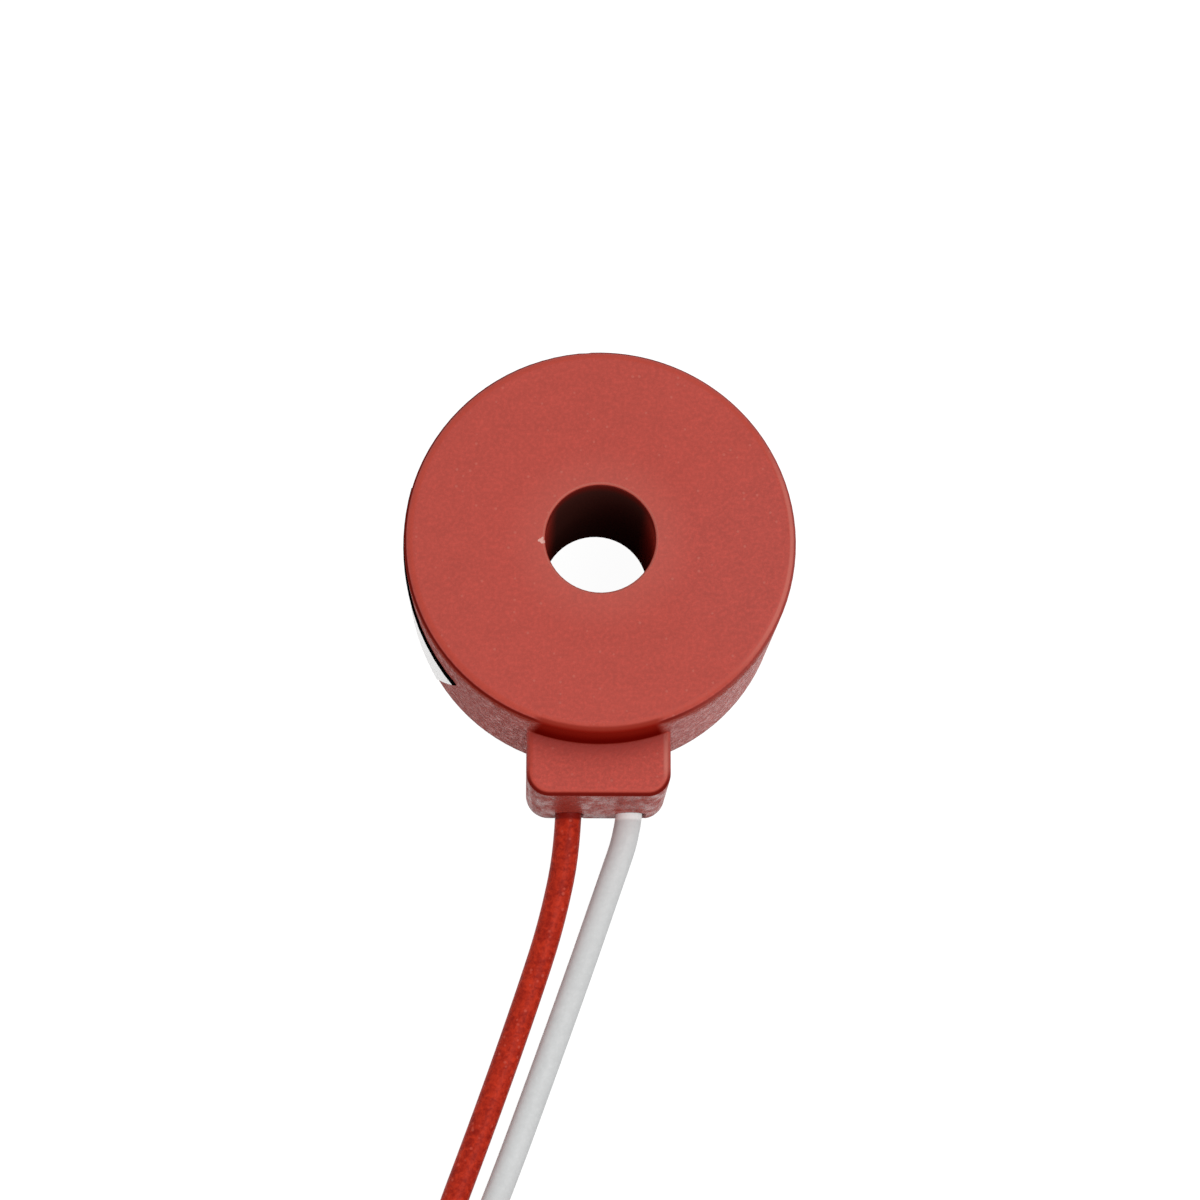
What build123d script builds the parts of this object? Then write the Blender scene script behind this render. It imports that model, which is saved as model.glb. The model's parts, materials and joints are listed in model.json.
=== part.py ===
from build123d import *

import os
from math import acos, cos, degrees, pi, radians, sin, sqrt, tan

# Through-hole current transformer with two flying leads, in millimetres.
# The Z axis is the axis of the primary hole. The open, resin-filled back lies on z = 0 and the moulded front
# face is on top. The lead block points to -Y, with the red lead on its -X side.

# Primary hole and moulded case
BORE_R = 2.82          # hole for the primary conductor
BORE_EDGE = 0.12       # chamfer of the hole at the front face
BORE_BACK = 0.2        # and at the back
TUBE_WALL = 0.7        # tube round the hole
CASE_WALL = 1.0        # round outer wall, at the front
WALL_DRAFT = 0.1       # how much less its outer radius is at the back
FACE_WALL = 1.0        # front face
FRONT_EDGE = 0.5       # rounding between front face and wall
BACK_EDGE = 0.12       # chamfer of the outer back edge
PAD_H = 0.5            # pads that keep the wound core off the inside of the face
PAD_W = 0.7
PAD_COUNT = 6

# Lead block on the side of the case
BLOCK_W = 7.4          # width
BLOCK_OUT = 2.67       # how far its end stands out from the round wall
BLOCK_H = 7.8          # height of its top above the back
BLOCK_WALL = 0.8
BLOCK_CORNER = 1.2     # upright corners
BLOCK_EDGE = 0.35      # edge round its top

# Core and the plastic box that holds it
CORE_BUILD = 2.0       # radial build of the wound strip
CORE_H = 5.5
CORE_SLACK = 0.1       # room round the core inside its box
CORE_EDGE = 0.1        # chamfer
BOX_WALL = 0.4
LID_PLUG = 0.3         # depth of the lid's two locating rings
LID_PLUG_W = 0.35
LID_FIT = 0.03         # clearance between those rings and the box walls

# Secondary winding, drawn as banks of turns, and its tape
WIND_IN = 0.7          # build through the hole of the ring
WIND_OUT = 0.55        # build on the outside
WIND_END = 0.6         # build on the two flat sides
BANKS = 24
BANK_GAP_W = 0.16      # groove between two banks of turns
BANK_GAP_D = 0.14
TAPE = 0.15
TAPE_CORNER = 0.7

# Resin
RESIN_IN = 0.3         # between bore tube and tape
RESIN_OUT = 0.63       # between tape and round wall
RESIN_BACK = 1.1       # cover over the wound core
RESIN_DIP = 0.3        # how far the resin's surface lies below the back edge of the case

# Leads
LEAD_D = 1.4
LEAD_Z = 1.5           # height of both exits above the back
RED_X = -1.4
WHITE_X = 1.9
LEAD_FIT = 0.06        # room round a lead in its slot in the end wall, filled by the resin
LEAD_GRIP = 2.4        # insulation inside the block, from the block's end face
CONDUCTOR_D = 0.6
BARE = 1.5             # stripped inner end
JOINT_D = 1.08
JOINT_L = 1.0
JOINT_AT = 0.8         # from the end of the insulation to the middle of the joint
SLEEVE_WALL = 0.12
SLEEVE_MOUTH_D = 1.1   # inner diameter where the sleeve has shrunk on the joint
SLEEVE_LAP = 0.6       # over the insulation
SLEEVE_L = 2.1
TIP_L = 5.0            # stripped and tinned far end
TIP_D = 0.62

# Winding tails
TAIL_D = 0.2
TAIL_TURN = 34         # degrees round the core from the lead block to where a tail leaves the winding
TAIL_Z = 2.6
TAIL_FIT = 0.02        # between a tail's end and the winding, and between the tail and the conductor

# Coil of spare lead, held by a tie
COIL_X = -1.4
COIL_Y = -47.3
COIL_R = 8.9           # outer turn, at the middle of the wire
RED_ENTRY = 170        # degrees round the coil where each lead runs on to it
WHITE_ENTRY = 158
COIL_STUB = 5.2        # straight length of the coil that runs on to the outer turn
RED_RUN_ON = 5.0       # straight length of lead before that
WHITE_RUN_ON = 3.2
RED_LAST_TURN = 76     # degrees of the innermost, third turn
WHITE_LAST_TURN = 84
TIE_AT = 20            # degrees round the coil
TIE_W = 1.6
TIE_THICK = 0.3
TIE_FIT = 0.04
TIE_HEAD = 2.4
TIE_HEAD_DEEP = 1.5
TIE_TAIL = 1.2

# Label on the round wall
LABEL_AT = 187.5       # degrees round the case, to the middle of the label
LABEL_Z = 5.45         # height of its middle
LABEL_TILT = -18       # it was put on askew
LABEL_W = 10.9
LABEL_H = 6.0
LABEL_THICK = 0.1
LABEL_GLUE = 0.02

# Radii from the hole outwards
tube_r = BORE_R + TUBE_WALL
tape_in_r = tube_r + RESIN_IN
wind_in_r = tape_in_r + TAPE
box_in_r = wind_in_r + WIND_IN
core_in_r = box_in_r + BOX_WALL + CORE_SLACK
core_out_r = core_in_r + CORE_BUILD
box_out_r = core_out_r + CORE_SLACK + BOX_WALL
wind_out_r = box_out_r + WIND_OUT
tape_out_r = wind_out_r + TAPE
cavity_r = tape_out_r + RESIN_OUT
case_r = cavity_r + CASE_WALL
back_r = case_r - WALL_DRAFT

# Heights from the back up to the front face
tape_z0 = RESIN_DIP + RESIN_BACK
wind_z0 = tape_z0 + TAPE
box_z0 = wind_z0 + WIND_END
core_z0 = box_z0 + BOX_WALL + CORE_SLACK
core_z1 = core_z0 + CORE_H
lid_z0 = core_z1 + CORE_SLACK + LID_PLUG
box_z1 = lid_z0 + BOX_WALL
wind_z1 = box_z1 + WIND_END
tape_z1 = wind_z1 + TAPE
floor_z = tape_z1 + PAD_H
case_h = floor_z + FACE_WALL

# Lead block and lead ends, along -Y
block_y = -(case_r + BLOCK_OUT)
pocket_y = block_y + BLOCK_WALL
pocket_w = BLOCK_W - 2 * BLOCK_WALL
pocket_h = BLOCK_H - BLOCK_WALL
insulation_y = block_y + LEAD_GRIP
conductor_y = insulation_y + BARE
joint_y = insulation_y + JOINT_AT
lead_r = LEAD_D / 2

LEADS = {"red": RED_X, "white": WHITE_X}

# Corners of each free lead between the block and the straight run on to its coil. They are offsets from the
# middle of the exit in the block's end face, so that the lead follows the block.
ROUTES = {
    "red": [(0, -1.3, 0), (-0.85, -5.53, -0.8), (-2.05, -9.33, -0.8), (-4.2, -15.53, -0.8)],
    "white": [(0, -0.4, 0), (-1.24, -3.93, -0.55), (-2.62, -7.93, -0.8), (-4.2, -12.33, -0.8),
              (-5.8, -16.73, -0.8), (-6.96, -19.79, -0.75)],
}


def point_on_coil(angle, radius, height):
    """A point on the coil, at an angle round its middle."""
    turn = radians(angle)
    return (COIL_X + radius * cos(turn), COIL_Y + radius * sin(turn), height)


def before_coil(angle, distance, height):
    """A point on the straight line that runs on to the outer turn at an angle."""
    turn = radians(angle)
    touch = point_on_coil(angle, COIL_R, height)
    return (touch[0] + distance * sin(turn), touch[1] - distance * cos(turn), height)


def standing_plane(angle, x=0.0, y=0.0):
    """An upright plane through (x, y) whose own x axis points outwards at an angle round Z."""
    turn = radians(angle)
    return Plane(origin=(x, y, 0), x_dir=(cos(turn), sin(turn), 0), z_dir=(sin(turn), -cos(turn), 0))


def ring_of(inner, outer, bottom, top, mode=Mode.ADD):
    """Revolve a rectangle between two radii and two heights round Z."""
    with BuildSketch(Plane.XZ) as section:
        with Locations(((inner + outer) / 2, (bottom + top) / 2)):
            Rectangle(outer - inner, top - bottom)
    revolve(section.sketch, axis=Axis.Z, mode=mode)


def hollow(bottom, mode):
    """The space inside the case above a height: a ring round the bore tube and the pocket in the block."""
    with BuildSketch(Plane.XY.offset(bottom)) as ring:
        Circle(cavity_r)
        Circle(tube_r, mode=Mode.SUBTRACT)
    extrude(ring.sketch, amount=floor_z - bottom, mode=mode)
    with BuildSketch(Plane.XY.offset(bottom)) as pocket:
        with Locations((0, (pocket_y - box_out_r) / 2)):
            Rectangle(pocket_w, -pocket_y - box_out_r)
    extrude(pocket.sketch, amount=pocket_h - bottom, mode=mode)


def lead_slots(bottom, mode):
    """Slots in the end wall of the block, open to the back, that the leads are laid in."""
    slot_r = lead_r + LEAD_FIT
    for x in LEADS.values():
        with BuildSketch(Plane.XZ.offset(-block_y)) as slot:
            with Locations((x, LEAD_Z)):
                Circle(slot_r)
            with Locations((x, (bottom + LEAD_Z) / 2)):
                Rectangle(2 * slot_r, LEAD_Z - bottom)
        extrude(slot.sketch, amount=-BLOCK_WALL, mode=mode)


def pads(mode):
    """Radial pads on the inside of the front face."""
    with BuildSketch(Plane.XY.offset(tape_z1)) as spokes:
        with PolarLocations((tape_in_r + tape_out_r) / 2, PAD_COUNT):
            Rectangle(tape_out_r - tape_in_r - 2 * TAPE_CORNER, PAD_W)
    extrude(spokes.sketch, amount=PAD_H, mode=mode)


# Moulded case: the lead block, and the round body turned round the hole
with BuildPart() as case:
    with BuildSketch():
        with Locations((0, (block_y - box_out_r) / 2)):
            Rectangle(BLOCK_W, -block_y - box_out_r)
    extrude(amount=BLOCK_H)
    block_corners = case.edges().filter_by(Axis.Z).group_by(Axis.Y)[0]
    fillet(block_corners, BLOCK_CORNER)
    block_back, *_, block_top = case.faces().sort_by(Axis.Z)
    fillet([edge for edge in block_top.edges() if edge.center().Y < -box_out_r], BLOCK_EDGE)
    chamfer([edge for edge in block_back.edges() if edge.center().Y < -box_out_r], BACK_EDGE)
    with BuildSketch(Plane.XZ) as round_body:
        with BuildLine():
            Polyline((BORE_R + BORE_BACK, 0), (back_r - BACK_EDGE, 0), (back_r, BACK_EDGE), (case_r, case_h),
                     (BORE_R + BORE_EDGE, case_h), (BORE_R, case_h - BORE_EDGE), (BORE_R, BORE_BACK), close=True)
        make_face()
    revolve(round_body.sketch, axis=Axis.Z)
    fillet(case.edges().filter_by(GeomType.CIRCLE).sort_by(SortBy.RADIUS)[-1], FRONT_EDGE)
    hollow(0, Mode.SUBTRACT)
    lead_slots(0, Mode.SUBTRACT)
    pads(Mode.ADD)

# Strip-wound core
with BuildPart() as core:
    ring_of(core_in_r, core_out_r, core_z0, core_z1)
    chamfer(core.edges().filter_by(GeomType.CIRCLE), CORE_EDGE)

# Core box: a cup with an inner and an outer wall, and a lid with two locating rings
channel_in_r = box_in_r + BOX_WALL
channel_out_r = box_out_r - BOX_WALL
with BuildPart() as core_case_cup:
    ring_of(box_in_r, box_out_r, box_z0, box_z0 + BOX_WALL)
    ring_of(box_in_r, channel_in_r, box_z0, lid_z0)
    ring_of(channel_out_r, box_out_r, box_z0, lid_z0)

with BuildPart() as core_case_lid:
    plug_in_r = channel_in_r + LID_FIT
    plug_out_r = channel_out_r - LID_FIT
    ring_of(box_in_r, box_out_r, lid_z0, box_z1)
    ring_of(plug_in_r, plug_in_r + LID_PLUG_W, lid_z0 - LID_PLUG, lid_z0)
    ring_of(plug_out_r - LID_PLUG_W, plug_out_r, lid_z0 - LID_PLUG, lid_z0)


def wrap_profile(inner, outer, bottom, top, corner, mode=Mode.ADD):
    """Section of what is wrapped round the ring: a rectangle with cut corners."""
    with BuildLine(mode=Mode.PRIVATE) as outline:
        Polyline((inner + corner, bottom), (outer - corner, bottom), (outer, bottom + corner),
                 (outer, top - corner), (outer - corner, top), (inner + corner, top),
                 (inner, top - corner), (inner, bottom + corner), close=True)
    add(make_face(outline.edges(), mode=Mode.PRIVATE), mode=mode)


wind_corner = TAPE_CORNER - TAPE * tan(radians(22.5))

# Secondary winding: a closed wrap round the core box, with a groove between each two banks of turns
with BuildPart() as secondary_winding:
    with BuildSketch(Plane.XZ):
        wrap_profile(wind_in_r, wind_out_r, wind_z0, wind_z1, wind_corner)
        with Locations(((box_in_r + box_out_r) / 2, (box_z0 + box_z1) / 2)):
            Rectangle(box_out_r - box_in_r, box_z1 - box_z0, mode=Mode.SUBTRACT)
    revolve(axis=Axis.Z)
    for bank in range(BANKS):
        with BuildSketch(standing_plane(360 * (bank + 0.5) / BANKS)):
            wrap_profile(wind_in_r - TAPE, wind_out_r + TAPE, wind_z0 - TAPE, wind_z1 + TAPE, TAPE_CORNER)
            wrap_profile(wind_in_r + BANK_GAP_D, wind_out_r - BANK_GAP_D, wind_z0 + BANK_GAP_D,
                         wind_z1 - BANK_GAP_D, wind_corner, Mode.SUBTRACT)
        extrude(amount=BANK_GAP_W / 2, both=True, mode=Mode.SUBTRACT)


def tail_route(x):
    """Centre line of a winding tail: off the winding, round in the resin, and on to the conductor's end."""
    side = 1 if x > 0 else -1
    gap_r = tape_out_r + RESIN_OUT / 2
    top_of_conductor = LEAD_Z + CONDUCTOR_D / 2 + TAIL_FIT + TAIL_D / 2

    def at(radius, turn, height):
        angle = radians(-90 + side * turn)
        return (radius * cos(angle), radius * sin(angle), height)

    return [at(wind_out_r + TAIL_FIT, TAIL_TURN, TAIL_Z), at(gap_r, TAIL_TURN, TAIL_Z),
            at(gap_r, TAIL_TURN - 15, top_of_conductor + TAIL_D),
            (x, sleeve_y1 + TAIL_D, top_of_conductor), (x, joint_y - JOINT_L / 2, top_of_conductor)]


def bend_radii(points):
    """For each corner: 0.45 of the shorter run, divided by the tangent of half the turn."""
    corners = [Vector(*p) for p in points]
    radii = []
    for before, corner, after in zip(corners, corners[1:], corners[2:]):
        run_in, run_out = corner - before, after - corner
        half_turn = radians(run_in.get_angle(run_out)) / 2
        radii.append(0.45 * min(run_in.length, run_out.length) / tan(half_turn))
    return radii


def round_bar(points, diameter):
    """Sweep a round section along straight runs that are joined by tangent arcs. Returns path and radii."""
    radii = bend_radii(points)
    with BuildLine() as path:
        FilletPolyline(*points, radius=radii)
    start = Vector(*points[0])
    with BuildSketch(Plane(origin=start, z_dir=Vector(*points[1]) - start)) as section:
        Circle(diameter / 2)
    sweep(section.sketch, path=path.wires()[0])
    return path.wires()[0].length, radii


def along_y(x, profile, mode=Mode.ADD):
    """Turn a profile of (distance from the lead's axis, y) points about the lead's axis inside the block."""
    with BuildSketch(Plane.XY.offset(LEAD_Z)) as section:
        with BuildLine():
            Polyline(*[(x + radius, y) for radius, y in profile], close=True)
        make_face()
    revolve(section.sketch, axis=Axis((x, 0, LEAD_Z), (0, 1, 0)), mode=mode)


sleeve_y0 = insulation_y - SLEEVE_LAP
sleeve_y1 = sleeve_y0 + SLEEVE_L
neck_y = insulation_y + (JOINT_AT - JOINT_L / 2)
mouth_r = SLEEVE_MOUTH_D / 2
sleeve_outside = [(lead_r + SLEEVE_WALL, sleeve_y0), (lead_r + SLEEVE_WALL, insulation_y),
                  (mouth_r + SLEEVE_WALL, neck_y), (mouth_r + SLEEVE_WALL, sleeve_y1)]
sleeve_inside = [(mouth_r, sleeve_y1), (mouth_r, neck_y), (lead_r, insulation_y), (lead_r, sleeve_y0)]

tails, conductors, joints, sleeves, tubes = {}, {}, {}, {}, {}
free_lengths = {}
for colour, lead_x in LEADS.items():
    # Winding tail of enamelled wire
    with BuildPart() as tails[colour]:
        with BuildLine() as tail_line:
            Polyline(*tail_route(lead_x))
        with BuildSketch(Plane(origin=tail_line.line @ 0, z_dir=tail_line.line % 0)) as tail_section:
            Circle(TAIL_D / 2)
        sweep(tail_section.sketch, path=tail_line.wires()[0], transition=Transition.RIGHT)

    # Stripped inner end of the lead
    with BuildPart() as conductors[colour]:
        with BuildSketch(Plane.XZ.offset(-conductor_y)):
            with Locations((lead_x, LEAD_Z)):
                Circle(CONDUCTOR_D / 2)
        extrude(amount=BARE)

    # Solder joint round the conductor and the tail
    with BuildPart() as joints[colour]:
        half = JOINT_L / 2
        along_y(lead_x, [(0, joint_y - half), (JOINT_D / 3, joint_y - half), (JOINT_D / 2, joint_y - half / 2),
                         (JOINT_D / 2, joint_y + half / 2), (JOINT_D / 3, joint_y + half), (0, joint_y + half)])
        add(conductors[colour].part, mode=Mode.SUBTRACT)
        add(tails[colour].part, mode=Mode.SUBTRACT)

    # Shrink sleeve over the joint and the end of the insulation
    with BuildPart() as sleeves[colour]:
        along_y(lead_x, sleeve_outside + sleeve_inside)

    # Insulated lead, from inside the block to its coil
    height = TIE_THICK + lead_r + (LEAD_D if colour == "white" else 0)
    entry = RED_ENTRY if colour == "red" else WHITE_ENTRY
    run_on = RED_RUN_ON if colour == "red" else WHITE_RUN_ON
    route = [(lead_x, insulation_y, LEAD_Z)]
    route += [(lead_x + x, block_y + y, LEAD_Z + z) for x, y, z in ROUTES[colour]]
    route += [before_coil(entry, COIL_STUB + run_on, height), before_coil(entry, COIL_STUB, height)]
    with BuildPart() as tubes[colour]:
        length, radii = round_bar(route, LEAD_D)
    free_lengths[colour] = length - LEAD_GRIP
    print(colour, "lead: tube length", round(length, 2), "volume over section times length",
          round(tubes[colour].part.volume / (pi * lead_r ** 2 * length), 4),
          "arc radii", [round(r, 1) for r in radii])

# Insulating wrap of tape, with a hole where each tail comes through
with BuildPart() as winding_tape:
    with BuildSketch(Plane.XZ):
        wrap_profile(tape_in_r, tape_out_r, tape_z0, tape_z1, TAPE_CORNER)
        wrap_profile(wind_in_r, wind_out_r, wind_z0, wind_z1, wind_corner, Mode.SUBTRACT)
    revolve(axis=Axis.Z)
    for tail in tails.values():
        add(tail.part, mode=Mode.SUBTRACT)

# Resin, filled from the back round everything inside the case
with BuildPart() as potting_compound:
    hollow(RESIN_DIP, Mode.ADD)
    lead_slots(RESIN_DIP, Mode.ADD)
    pads(Mode.SUBTRACT)
    with BuildSketch(Plane.XZ):
        wrap_profile(tape_in_r, tape_out_r, tape_z0, tape_z1, TAPE_CORNER)
    revolve(axis=Axis.Z, mode=Mode.SUBTRACT)
    for colour, lead_x in LEADS.items():
        along_y(lead_x, sleeve_outside + [(0, sleeve_y1), (0, sleeve_y0)], Mode.SUBTRACT)
        add(tubes[colour].part, mode=Mode.SUBTRACT)
        add(tails[colour].part, mode=Mode.SUBTRACT)

# Sticker on the round wall: a straight-sided rectangle, wrapped round the wall
def on_wall(along, up):
    """Where a spot of the flat label falls, seen square on to the label's middle."""
    tilt = radians(LABEL_TILT)
    turn = (along * cos(tilt) - up * sin(tilt)) / case_r
    return (case_r * sin(turn), LABEL_Z + along * sin(tilt) + up * cos(tilt))


label_turn = radians(LABEL_AT)
label_plane = Plane(origin=(0, 0, 0), x_dir=(-sin(label_turn), cos(label_turn), 0),
                    z_dir=(cos(label_turn), sin(label_turn), 0))
label_corners = [(-LABEL_W / 2, -LABEL_H / 2), (LABEL_W / 2, -LABEL_H / 2),
                 (LABEL_W / 2, LABEL_H / 2), (-LABEL_W / 2, LABEL_H / 2)]
with BuildPart() as side_label:
    with BuildSketch(label_plane):
        with BuildLine():
            for (x0, y0), (x1, y1) in zip(label_corners, label_corners[1:] + label_corners[:1]):
                steps = [step / 6 for step in range(7)]
                Spline(*[on_wall(x0 + (x1 - x0) * step, y0 + (y1 - y0) * step) for step in steps])
        make_face()
    extrude(amount=case_r + 1)
    with BuildSketch(Plane.XZ) as skin:
        with BuildLine():
            Polyline((back_r + LABEL_GLUE, 0), (back_r + LABEL_GLUE + LABEL_THICK, 0),
                     (case_r + LABEL_GLUE + LABEL_THICK, case_h), (case_r + LABEL_GLUE, case_h), close=True)
        make_face()
    revolve(skin.sketch, axis=Axis.Z, mode=Mode.INTERSECT)

# Coiled spare lead: two full turns side by side, part of a third inside them, and the straight run on to it
coil_axis = Axis((COIL_X, COIL_Y, 0), (0, 0, 1))
third_r = COIL_R - 2 * LEAD_D


def sector(angle_from, angle_to, radius, bottom, width, height):
    """Part of a flat ring of the coil, at a middle radius, by revolving a rectangle."""
    with BuildSketch(standing_plane(angle_from, COIL_X, COIL_Y)) as section:
        with Locations((radius, bottom + height / 2)):
            Rectangle(width, height)
    revolve(section.sketch, axis=coil_axis, revolution_arc=angle_to - angle_from)


coils, tips = {}, {}
for colour, entry, last_turn, layer in (("red", RED_ENTRY, RED_LAST_TURN, 0),
                                        ("white", WHITE_ENTRY, WHITE_LAST_TURN, 1)):
    bottom = TIE_THICK + layer * LEAD_D
    with BuildPart() as coils[colour]:
        sector(0, 360, COIL_R - LEAD_D / 2, bottom, 2 * LEAD_D, LEAD_D)
        sector(entry, entry + last_turn, third_r, bottom, LEAD_D, LEAD_D)
        on_to = radians(entry)
        touch = point_on_coil(entry, COIL_R, bottom)
        with BuildSketch(Plane(origin=touch, x_dir=(sin(on_to), -cos(on_to), 0), z_dir=(0, 0, 1))):
            with Locations((COIL_STUB / 2, 0)):
                Rectangle(COIL_STUB, LEAD_D)
        extrude(amount=LEAD_D)
    # Stripped and tinned end, which goes on round the third turn
    with BuildPart() as tips[colour]:
        with BuildSketch(standing_plane(entry + last_turn, COIL_X, COIL_Y)):
            with Locations((third_r, bottom + lead_r)):
                Circle(TIP_D / 2)
        revolve(axis=coil_axis, revolution_arc=degrees(TIP_L / third_r))
    turns_length = 2 * pi * (2 * COIL_R - LEAD_D) + radians(last_turn) * third_r
    print(colour, "lead: whole length", round(free_lengths[colour] + COIL_STUB + turns_length + TIP_L, 1))

# Tie: a strap round both coils, with its head on the outside and the cut tail standing out of it
with BuildPart() as coil_tie:
    strap_in = COIL_R - 1.5 * LEAD_D - TIE_FIT
    strap_out = COIL_R + LEAD_D / 2 + TIE_FIT
    strap_top = TIE_THICK + 2 * LEAD_D + TIE_FIT
    middle = (strap_in + strap_out) / 2
    arc = degrees(TIE_W / middle)
    head_x = strap_out + TIE_THICK / 2 + TIE_HEAD_DEEP / 2
    head_z = (strap_top + TIE_THICK) / 2
    with BuildSketch(standing_plane(TIE_AT - arc / 2, COIL_X, COIL_Y)):
        with Locations((middle, head_z)):
            strap = Rectangle(strap_out - strap_in + 2 * TIE_THICK, strap_top + TIE_THICK)
            chamfer(strap.vertices(), TIE_THICK)
            Rectangle(strap_out - strap_in, strap_top - TIE_THICK, mode=Mode.SUBTRACT)
    revolve(axis=coil_axis, revolution_arc=arc)
    with BuildSketch(standing_plane(TIE_AT, COIL_X, COIL_Y)):
        with Locations((head_x, head_z)):
            head = Rectangle(TIE_HEAD_DEEP, TIE_HEAD)
            chamfer(head.vertices().group_by(Axis.X)[-1], TIE_THICK)
    extrude(amount=TIE_HEAD / 2, both=True)
    with BuildSketch(standing_plane(TIE_AT, COIL_X, COIL_Y)):
        with Locations((head_x, head_z + TIE_HEAD / 2 + TIE_TAIL / 2)):
            Rectangle(TIE_THICK, TIE_TAIL)
    extrude(amount=TIE_W / 2, both=True)

pieces = {
    "case": case, "potting_compound": potting_compound, "core": core, "core_case_cup": core_case_cup,
    "core_case_lid": core_case_lid, "secondary_winding": secondary_winding, "winding_tape": winding_tape,
    "side_label": side_label, "coil_tie": coil_tie,
}
for colour in LEADS:
    pieces[f"{colour}_tail"] = tails[colour]
    pieces[f"{colour}_conductor"] = conductors[colour]
    pieces[f"{colour}_joint"] = joints[colour]
    pieces[f"{colour}_sleeve"] = sleeves[colour]
    pieces[f"{colour}_lead"] = tubes[colour]
    pieces[f"{colour}_lead_coil"] = coils[colour]
    pieces[f"{colour}_lead_tip"] = tips[colour]

os.makedirs("parts", exist_ok=True)
for name, piece in pieces.items():
    piece.part.label = name
    export_step(piece.part, f"parts/{name}.step")
print("case", round(2 * case_r, 2), "across,", round(case_h, 2), "thick;", len(pieces), "pieces")
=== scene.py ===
# %% [markdown]
# # A small current transformer with flying leads
#
# The part is a ring: a wound core sits in a red moulded case, resin fills the case from the back, and the
# primary conductor goes through the hole. Two thin leads, one red and one white, leave a block on its side.
# The solids come from the packed frame at their real size, so this lesson is about the looks: the grain of
# the moulding, the soft wire, the sticker and the light. We start by loading the frame.

# %% Load the frame
import math
import json

import bpy
from mathutils import Matrix, Vector


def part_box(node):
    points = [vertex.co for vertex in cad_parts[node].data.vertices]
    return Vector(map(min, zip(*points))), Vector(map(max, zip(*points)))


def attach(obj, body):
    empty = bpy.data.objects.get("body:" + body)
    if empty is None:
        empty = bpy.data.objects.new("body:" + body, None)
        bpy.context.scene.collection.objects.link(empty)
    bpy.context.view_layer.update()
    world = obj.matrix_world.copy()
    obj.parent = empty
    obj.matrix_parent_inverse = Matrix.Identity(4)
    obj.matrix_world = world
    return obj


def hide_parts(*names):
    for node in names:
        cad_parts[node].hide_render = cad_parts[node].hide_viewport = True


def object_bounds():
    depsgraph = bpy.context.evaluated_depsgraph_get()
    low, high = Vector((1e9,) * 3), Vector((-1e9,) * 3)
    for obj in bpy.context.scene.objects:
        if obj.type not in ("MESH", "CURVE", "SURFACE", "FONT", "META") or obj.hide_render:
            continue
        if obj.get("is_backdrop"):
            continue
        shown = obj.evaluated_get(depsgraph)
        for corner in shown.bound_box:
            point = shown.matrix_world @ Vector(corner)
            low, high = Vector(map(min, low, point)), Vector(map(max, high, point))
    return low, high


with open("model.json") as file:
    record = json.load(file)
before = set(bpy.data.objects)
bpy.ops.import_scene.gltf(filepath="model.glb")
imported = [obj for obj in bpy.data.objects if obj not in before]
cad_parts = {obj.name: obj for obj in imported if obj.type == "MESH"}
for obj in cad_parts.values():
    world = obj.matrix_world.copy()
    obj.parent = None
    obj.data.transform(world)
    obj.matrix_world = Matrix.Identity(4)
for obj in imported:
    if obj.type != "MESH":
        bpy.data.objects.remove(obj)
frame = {"record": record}
cad_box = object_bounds()

# %% [markdown]
# ## Sizes
#
# Blender and the frame count in metres, and a part this small is easier to think of in millimetres, so one
# name stands for a millimetre. Sizes that the frame knows are read from it instead of being typed again: the
# case gives its radius, its height and how far the block stands out, and the mount gives the hole. Only the
# thickness of the leads is typed here.

# %% Sizes read from the frame
MM = 0.001
case_low, case_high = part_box("case")
case_r = round(case_high.x / MM, 1)
case_top = case_high.z / MM
block_end = case_low.y / MM
hole = next(mount for mount in frame["record"]["mounts"] if mount["name"] == "bore")
bore_r = hole["dims"]["r_mm"]
lead_d = 1.4
print("case radius", round(case_r, 2), "height", round(case_top, 2), "hole radius", bore_r)


# %% [markdown]
# ## The camera
#
# The part lies on its back, and we look down on it steeply from the lead side. A long lens keeps the round
# face nearly round. A camera looks along its own -Z axis, so its matrix is built from three directions: to
# its right, up, and back away from what it sees. Last it is rolled a little, as if held slightly askew.

# %% Camera
VIEW_RISE = math.radians(76.977)
VIEW_TURN = math.radians(-6.602)
VIEW_ROLL = math.radians(6.771)
CAMERA_PLACE = Vector((-3.962, -37.201, 159.049)) * MM
LENS = 90
SENSOR_W = 36
NEAREST, FARTHEST = 0.002, 20


def place_camera():
    """A camera at the viewing angle, made the scene's own."""
    back = Vector((math.sin(VIEW_TURN) * math.cos(VIEW_RISE),
                   -math.cos(VIEW_TURN) * math.cos(VIEW_RISE),
                   math.sin(VIEW_RISE)))
    level = Vector((math.cos(VIEW_TURN), math.sin(VIEW_TURN), 0))
    upright = back.cross(level)
    to_right = level * math.cos(VIEW_ROLL) + upright * math.sin(VIEW_ROLL)
    to_top = upright * math.cos(VIEW_ROLL) - level * math.sin(VIEW_ROLL)
    bpy.ops.object.camera_add()
    camera = bpy.context.object
    camera.name = "camera"
    turned = Matrix((to_right, to_top, back)).transposed().to_4x4()
    camera.matrix_world = Matrix.Translation(CAMERA_PLACE) @ turned
    camera.data.lens = LENS
    camera.data.sensor_width = SENSOR_W
    camera.data.clip_start = NEAREST
    camera.data.clip_end = FARTHEST
    bpy.context.scene.camera = camera
    return camera


camera = place_camera()
print("camera", [round(value / MM, 1) for value in camera.location], "mm")


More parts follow.
